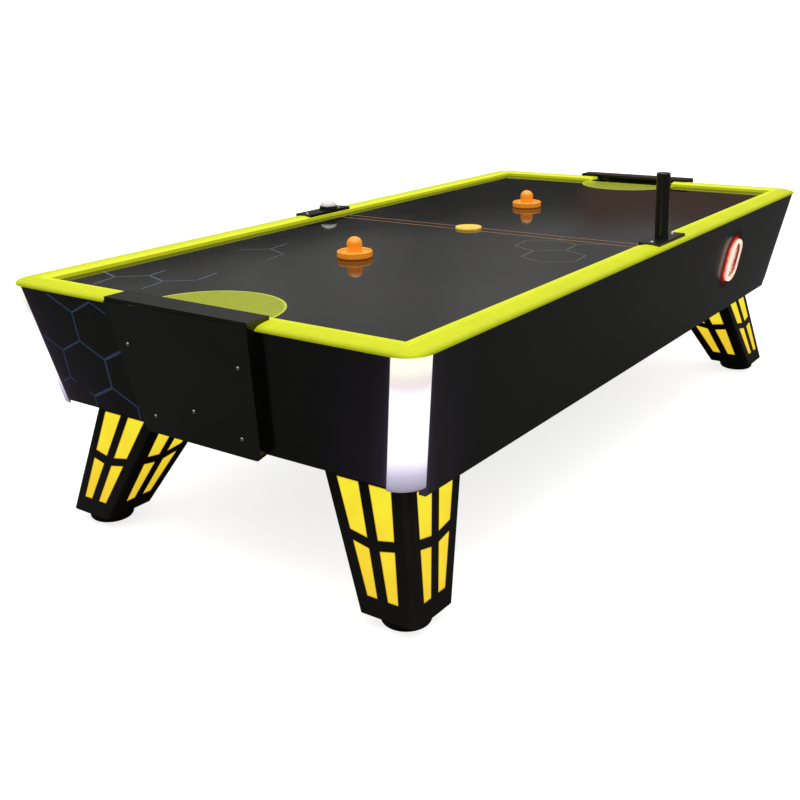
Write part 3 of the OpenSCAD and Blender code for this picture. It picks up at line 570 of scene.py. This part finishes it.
class Comb:
    """A printed honeycomb. Its corners have a column i and a row k.

    w is half the width of a cell and s is its side.
    """

    def __init__(self, m, centre, w, s, turn=0.0):
        self.m = m @ Matrix.Translation((*centre, 0)) @ Matrix.Rotation(math.radians(turn), 4, "Z")
        self.w, self.s = w, s
        self.b = Build()

    def corner(self, i, k):
        return Vector((self.w * i, self.s * (1.5 * k + 0.75 + (0.25 if (i + k) % 2 == 0 else -0.25)), 0))

    def edge(self, a, b, width=0.005, start=0.0, end=1.0, mat=0):
        """A line from corner a to corner b, or the part of it from start to end."""
        p, q = self.corner(*a), self.corner(*b)
        p, q = p.lerp(q, start), p.lerp(q, end)
        self.b.ribbon([p.xy, q.xy], width, 0, self.m, mat)
        for e in (p, q):
            dot = [(e.x + width / 2 * math.cos(u), e.y + width / 2 * math.sin(u), 0)
                   for u in [math.pi / 4 * j for j in range(8)]]
            self.b.add(dot, [tuple(range(8))], mat, self.m)

    def done(self, name, mats, slot="play_surface"):
        return self.b.done(name, mats, slot=slot)


# The end wall: one whole cell with broken ones round it.
comb = Comb(near_frame(-0.395, 0.465) @ Matrix.Translation((0, 0, 0.0002)), (0, 0), 0.08, 0.0782)
for e in (((0, 0), (1, 0)), ((0, 0), (-1, 0)), ((0, 0), (0, 1)), ((0, 1), (-1, 1)), ((0, 1), (1, 1)),
          ((1, -1), (2, -1))):
    comb.edge(*e)
comb.edge((-1, 0), (-1, -1), 0.0045)
comb.edge((1, 0), (1, -1), 0.006)
comb.edge((1, -1), (0, -1), 0.007, mat=1)
comb.edge((1, 0), (2, 0), 0.007, 0, 0.85, 1)
comb.edge((1, 1), (2, 1), 0.0035, 0, 0.62)
comb.edge((-1, 0), (-2, 0), 0.004, 0, 0.8)
comb.edge((-1, -1), (-2, -1), 0.004, 0, 0.42)
comb.edge((-1, -1), (0, -1), 0.004, 0, 0.22)
comb.edge((0, -1), (0, -2), 0.004, 0, 0.36)
comb.edge((0, -1), (-1, -1), 0.004, 0, 0.22)
comb.edge((2, -1), (2, -2), 0.005, 0, 0.4)
comb.edge((2, -1), (3, -1), 0.005, 0, 0.3)
comb.done("hex_end_near", ["hex_line", "hex_bold"], "cabinet")

# The playfield: a larger, turned honeycomb near the left corner, and fainter pieces further on.
comb = Comb(floor_m, (-0.372, -1.088), 0.076, 0.088, 11)
for e in (((0, 0), (-1, 0)), ((0, 0), (1, 0)), ((-1, 0), (-2, 0)), ((1, 0), (2, 0)), ((2, 0), (2, 1)),
          ((-1, 0), (-1, -1)), ((1, 0), (1, -1))):
    comb.edge(*e, 0.0055)
comb.edge((0, 0), (0, 1), 0.0055, 0, 0.8)
comb.done("hex_play_near", "hex_pale")
comb = Comb(floor_m, (-0.34, -0.66), 0.078, 0.09, 8)
for e in (((0, 0), (-1, 0)), ((0, 0), (1, 0)), ((0, 0), (0, 1)), ((1, 0), (1, -1))):
    comb.edge(*e, 0.004)
comb.done("hex_play_left", "hex_pale")
comb = Comb(floor_m, (0.312, -0.123), 0.078, 0.09, 6)
for e in (((0, 0), (-1, 0)), ((0, 0), (1, 0)), ((-1, 0), (-1, -1)), ((1, 0), (1, -1)), ((-1, -1), (0, -1)),
          ((1, -1), (0, -1)), ((0, -1), (0, -2)), ((1, -1), (2, -1)), ((2, -1), (2, -2)), ((0, -2), (1, -2)),
          ((2, -2), (1, -2)), ((1, 0), (2, 0))):
    comb.edge(*e, 0.0045)
comb.edge((0, 0), (0, 1), 0.0045, 0, 0.5)
comb.done("hex_play_mid", "hex_grey")

# ---- Windows of the legs --------------------------------------------------------------------

LEG_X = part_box("leg_near_right")[1].x
LEG_Y = -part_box("leg_near_right")[0].y
LEG_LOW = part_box("leg_near_right")[0].z
FOOT_W, TOP_W = 0.148, 0.24
EDGE, INNER, BAR = 0.04, 0.036, 0.028
WIN_LOW, BAR_LOW, BAR_HIGH, BAR_DIP = 0.072, 0.173, 0.194, 0.008
WIN_TOP = {"out_y": 0.308, "in_y": 0.336, "out_x": 0.3, "in_x": 0.3}


def leg_w(z):
    return FOOT_W + (TOP_W - FOOT_W) * (z - LEG_LOW) / (END_LOW - LEG_LOW)


def bar_at(z):
    return (EDGE + leg_w(z) - INNER) / 2


def windows(top):
    """The four windows of a leg face; each corner is a distance from the outer ridge and a height."""
    h = BAR / 2
    dip = BAR_HIGH + BAR_DIP
    edge = BAR_LOW + BAR_DIP

    def bar(z, side):
        return bar_at(z) + side * h, z

    def far(z):
        return leg_w(z) - INNER, z
    return [
        [(EDGE, dip), bar(BAR_HIGH, -1), bar(top, -1), (EDGE, top)],
        [bar(BAR_HIGH, 1), far(dip), far(top), bar(top, 1)],
        [(EDGE, WIN_LOW), bar(WIN_LOW, -1), bar(BAR_LOW, -1), (EDGE, edge)],
        [bar(WIN_LOW, 1), far(WIN_LOW), far(edge), bar(BAR_LOW, 1)]]


def leg_place(sx, sy, face):
    """Turns (u, z, w) on a leg face into a point; w is the height over the face."""
    def place(u, z, w):
        drop = LEAN * (z - LEG_LOW)
        x, y, wide = LEG_X - drop, LEG_Y - drop, leg_w(z)
        p = {"out_y": (x - u, y + w), "out_x": (x + w, y - u),
             "in_y": (x - u, y - wide - w), "in_x": (x - wide - w, y - u)}[face]
        return sx * p[0], sy * p[1], z
    return place


PANEL_BACK, PANEL_RIM, PANEL_CROWN = -0.00115, -0.0008, 0.0005  # heights over the leg's face
GLOW_EDGE = 0.0035  # width of the darker border


def window_panel(pts, place, turn):
    """A crowned diffuser panel with a closed back: a grid over the quad, with glow 0 at its border."""
    n, k = 9, 17
    a, b, c, d = [Vector(p) for p in pts]
    vs, glow = [], []
    for side in (0, 1):
        for j in range(k):
            vv = 0.5 - 0.5 * math.cos(math.pi * j / (k - 1))
            for i in range(n):
                uu = 0.5 - 0.5 * math.cos(math.pi * i / (n - 1))
                p = (a.lerp(b, uu)).lerp(d.lerp(c, uu), vv)
                edge = min(min(uu, 1 - uu) * (a.lerp(d, vv) - b.lerp(c, vv)).length,
                           min(vv, 1 - vv) * (a - d).length)
                glow.append(min(1.0, edge / GLOW_EDGE))
                crown = (1 - (2 * uu - 1) ** 4) * (1 - (2 * vv - 1) ** 6)
                vs.append(place(p.x, p.y, PANEL_BACK if side else PANEL_RIM + PANEL_CROWN * crown))
    o = n * k
    fs = [(j * n + i, j * n + i + 1, (j + 1) * n + i + 1, (j + 1) * n + i)
          for j in range(k - 1) for i in range(n - 1)]
    fs += [tuple(q + o for q in f[::-1]) for f in fs]
    rim = list(range(n)) + [j * n + n - 1 for j in range(1, k)]
    rim += [(k - 1) * n + i for i in range(n - 2, -1, -1)] + [j * n for j in range(k - 2, 0, -1)]
    fs += [(q, q + o, r + o, r) for q, r in zip(rim, rim[1:] + rim[:1])]
    if turn:
        fs = [f[::-1] for f in fs]
    return vs, fs, glow


for cname, (sx, sy) in CORNERS.items():
    vs, fs, glow = [], [], []
    for face, top in WIN_TOP.items():
        for pts in windows(top):
            turn = (sx * sy > 0) == (face in ("out_x", "in_y"))
            v, f, g = window_panel(pts, leg_place(sx, sy, face), turn)
            k = len(vs)
            vs += v
            fs += [tuple(i + k for i in q) for q in f]
            glow += g
    mesh("leg_windows_" + cname, vs, fs, "window_diffuser", smooth=30, slot="window_diffuser", glow=glow)

# ---- Start button ---------------------------------------------------------------------------

def slot_ring(w, h, n=24):
    """Outline of a slot shape w across and h high."""
    r, d = w / 2, (h - w) / 2
    return [(r * math.cos(a), d + r * math.sin(a)) for a in [math.pi * i / n for i in range(n + 1)]] + \
        [(-r * math.cos(a), -d - r * math.sin(a)) for a in [math.pi * i / n for i in range(n + 1)]]


RING_W, RING_H = 0.09, 0.148
HALO = ((-0.0006, 1.0), (0.005, 0.7), (0.011, 0.5), (0.024, 0.2), (0.044, 0.0))  # (growth, glow)
m = right_frame(BUTTON.y, BUTTON.z)
m.translation += (BUTTON - m.translation).dot(m.col[1].xyz) * m.col[1].xyz
vs, glow = [], []
for grow, g in HALO:
    ring = slot_ring(RING_W + 2 * grow, RING_H + 2 * grow)
    vs += [m @ Vector((x, y, 0.0003)) for x, y in ring]
    glow += [g] * len(ring)
n = len(ring)
fs = [(i * n + j, (i + 1) * n + j, (i + 1) * n + (j + 1) % n, i * n + (j + 1) % n)
      for i in range(len(HALO) - 1) for j in range(n)]
mesh("start_button_halo", vs, fs, "halo", slot="cabinet", glow=glow)

# ---- Screws ---------------------------------------------------------------------------------

def screw_head(b, m, r, h):
    """Domed head with a hexagonal socket."""
    seg = 36
    turns = [2 * math.pi * j / seg for j in range(seg)]
    prof = [(r, 0), (r * 0.985, h * 0.28), (r * 0.86, h * 0.64), (r * 0.66, h * 0.88), (r * 0.48, h)]
    vs = [(q * math.cos(a), q * math.sin(a), z) for q, z in prof for a in turns]

    def hexp(a):
        k = r * 0.4 * math.cos(math.pi / 6) / math.cos((a % (math.pi / 3)) - math.pi / 6)
        return k * math.cos(a), k * math.sin(a)
    vs += [(*hexp(a), h * 0.98) for a in turns] + [(*hexp(a), h * 0.35) for a in turns]
    rings = len(prof) + 2
    fs = [(i * seg + j, i * seg + (j + 1) % seg, (i + 1) * seg + (j + 1) % seg, (i + 1) * seg + j)
          for i in range(rings - 1) for j in range(seg)]
    fs += [tuple((rings - 1) * seg + j for j in range(seg)), tuple(range(seg - 1, -1, -1))]
    b.add(vs, fs, 0, m)


PROUD = 0.025  # how far the goal covers stand off the end walls
SCREW_R, SCREW_H = 0.0052, 0.003
SCREWS = [(-0.176, 0.58), (0.176, 0.58), (-0.14, 0.398), (0.14, 0.398), (0.0, 0.439)]
b = Build()
for sy in (-1, 1):
    for x, z in SCREWS:
        seat = near_frame(x * -sy, z, sy) @ Matrix.Translation((0, 0, PROUD + 0.0001))
        screw_head(b, seat, SCREW_R, SCREW_H)
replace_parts(b.done("goal_screw_heads", "hardware", slot="hardware"), "goal_screws")

# ---- Floor, light, camera -------------------------------------------------------------------

scene = bpy.context.scene
scene.view_settings.view_transform = "Standard"
scene.view_settings.look = "None"


def floor():
    """A studio floor. To the camera it is white and keeps only a light contact shadow."""
    me = bpy.data.meshes.new("floor")
    s = 40
    z = -0.0005
    me.from_pydata([(-s, -s, z), (s, -s, z), (s, s, z), (-s, s, z)], [], [(0, 1, 2, 3)])
    m = bpy.data.materials.new("floor")
    m.use_nodes = True
    t = m.node_tree
    t.nodes.clear()
    white = add_node(t, "ShaderNodeEmission", {0: (1, 1, 1, 1), 1: 0.8}).outputs[0]
    shade = add_node(t, "ShaderNodeBsdfDiffuse", {0: (0.62, 0.62, 0.63, 1)}).outputs[0]
    seen = add_node(t, "ShaderNodeAddShader", {0: white, 1: shade}).outputs[0]
    other = add_node(t, "ShaderNodeBsdfDiffuse", {0: (0.1, 0.1, 0.1, 1)}).outputs[0]
    path = add_node(t, "ShaderNodeLightPath").outputs["Is Camera Ray"]
    mix = add_node(t, "ShaderNodeMixShader", {0: path, 1: other, 2: seen}).outputs[0]
    add_node(t, "ShaderNodeOutputMaterial", {0: mix})
    me.materials.append(m)
    o = bpy.data.objects.new("floor", me)
    bpy.context.collection.objects.link(o)


def world():
    """White to the camera. Reflections see a dim room: dark low down, brown to one side, pale above."""
    w = bpy.data.worlds.new("studio")
    scene.world = w
    w.use_nodes = True
    t = w.node_tree
    t.nodes.clear()

    def node(kind, ins=(), out=0, **props):
        return add_node(t, kind, ins, **props).outputs[out]

    def remap(v, a, b, lo, hi):
        ins = {"Value": v, "From Min": a, "From Max": b, "To Min": lo, "To Max": hi}
        return node("ShaderNodeMapRange", ins)

    def calc(op, a, b, c=0.0):
        return node("ShaderNodeMath", {0: a, 1: b, 2: c}, operation=op)

    co = node("ShaderNodeTexCoord")
    sep = add_node(t, "ShaderNodeSeparateXYZ", {0: co})
    azimuth = calc("ARCTAN2", sep.outputs["X"], sep.outputs["Y"])
    wave = node("ShaderNodeTexNoise", {"Vector": co, "Scale": 3.2, "Detail": 2.0})
    tilt = remap(azimuth, -1.2, -0.55, -0.06, 0.0)
    height = calc("ADD", sep.outputs["Z"], calc("MULTIPLY_ADD", wave, 0.06, -0.03))
    height = calc("ADD", height, tilt)
    sky = add_node(t, "ShaderNodeValToRGB", {0: height})
    greys = [(0.0, 0.018), (0.145, 0.022), (0.165, 0.036), (0.185, 0.13),
             (0.35, 0.17), (0.6, 0.6), (1.0, 1.0)]
    fill_ramp(sky.color_ramp, [(pos, (g * 1.01, g, g * 0.98)) for pos, g in greys])
    side = remap(azimuth, -0.46, -0.44, 0.0, 1.0)
    low = remap(height, 0.17, 0.19, 0.8, 0.0)
    brown = node("ShaderNodeMix", {0: calc("MULTIPLY", side, low), 6: sky.outputs[0],
                                   7: (0.09, 0.05, 0.038, 1)}, 2, data_type="RGBA")
    patch = node("ShaderNodeTexNoise", {"Vector": co, "Scale": 7.0, "Detail": 1.0})
    room = node("ShaderNodeBackground", {0: brown, 1: remap(patch, 0.35, 0.65, 1.15, 1.85)})
    white = node("ShaderNodeBackground", {0: (1, 1, 1, 1), 1: 1.0})
    path = node("ShaderNodeLightPath", out="Is Camera Ray")
    add_node(t, "ShaderNodeOutputWorld", {0: node("ShaderNodeMixShader", {0: path, 1: room, 2: white})})


def area(name, loc, aim, size, power):
    d = bpy.data.lights.new(name, "AREA")
    d.shape = "RECTANGLE"
    d.size, d.size_y = size
    d.energy = power
    o = bpy.data.objects.new(name, d)
    o.location = loc
    o.rotation_mode = "QUATERNION"
    o.rotation_quaternion = (Vector(aim) - Vector(loc)).to_track_quat("-Z", "Y")
    bpy.context.collection.objects.link(o)


def camera():
    yaw, pitch, roll = (math.radians(a) for a in (35.601, 12.494, -1.095))
    fwd = Vector((-math.sin(yaw) * math.cos(pitch), math.cos(yaw) * math.cos(pitch), -math.sin(pitch)))
    right = Vector((math.cos(yaw), math.sin(yaw), 0))
    up = right.cross(fwd)
    r = right * math.cos(roll) + up * math.sin(roll)
    u = up * math.cos(roll) - right * math.sin(roll)
    d = bpy.data.cameras.new("camera")
    d.sensor_width = 36
    d.lens = 1.348 * d.sensor_width
    d.shift_y = -0.16
    d.clip_end = 200
    o = bpy.data.objects.new("camera", d)
    o.matrix_world = frame_at(Vector((1.7543, -2.8655, 1.272)), r, u, -fwd)
    bpy.context.collection.objects.link(o)
    scene.camera = o


floor()
world()
area("key", (0.5, -1.5, 4.5), (0, 0, 0.6), (4, 4), 60)
camera()
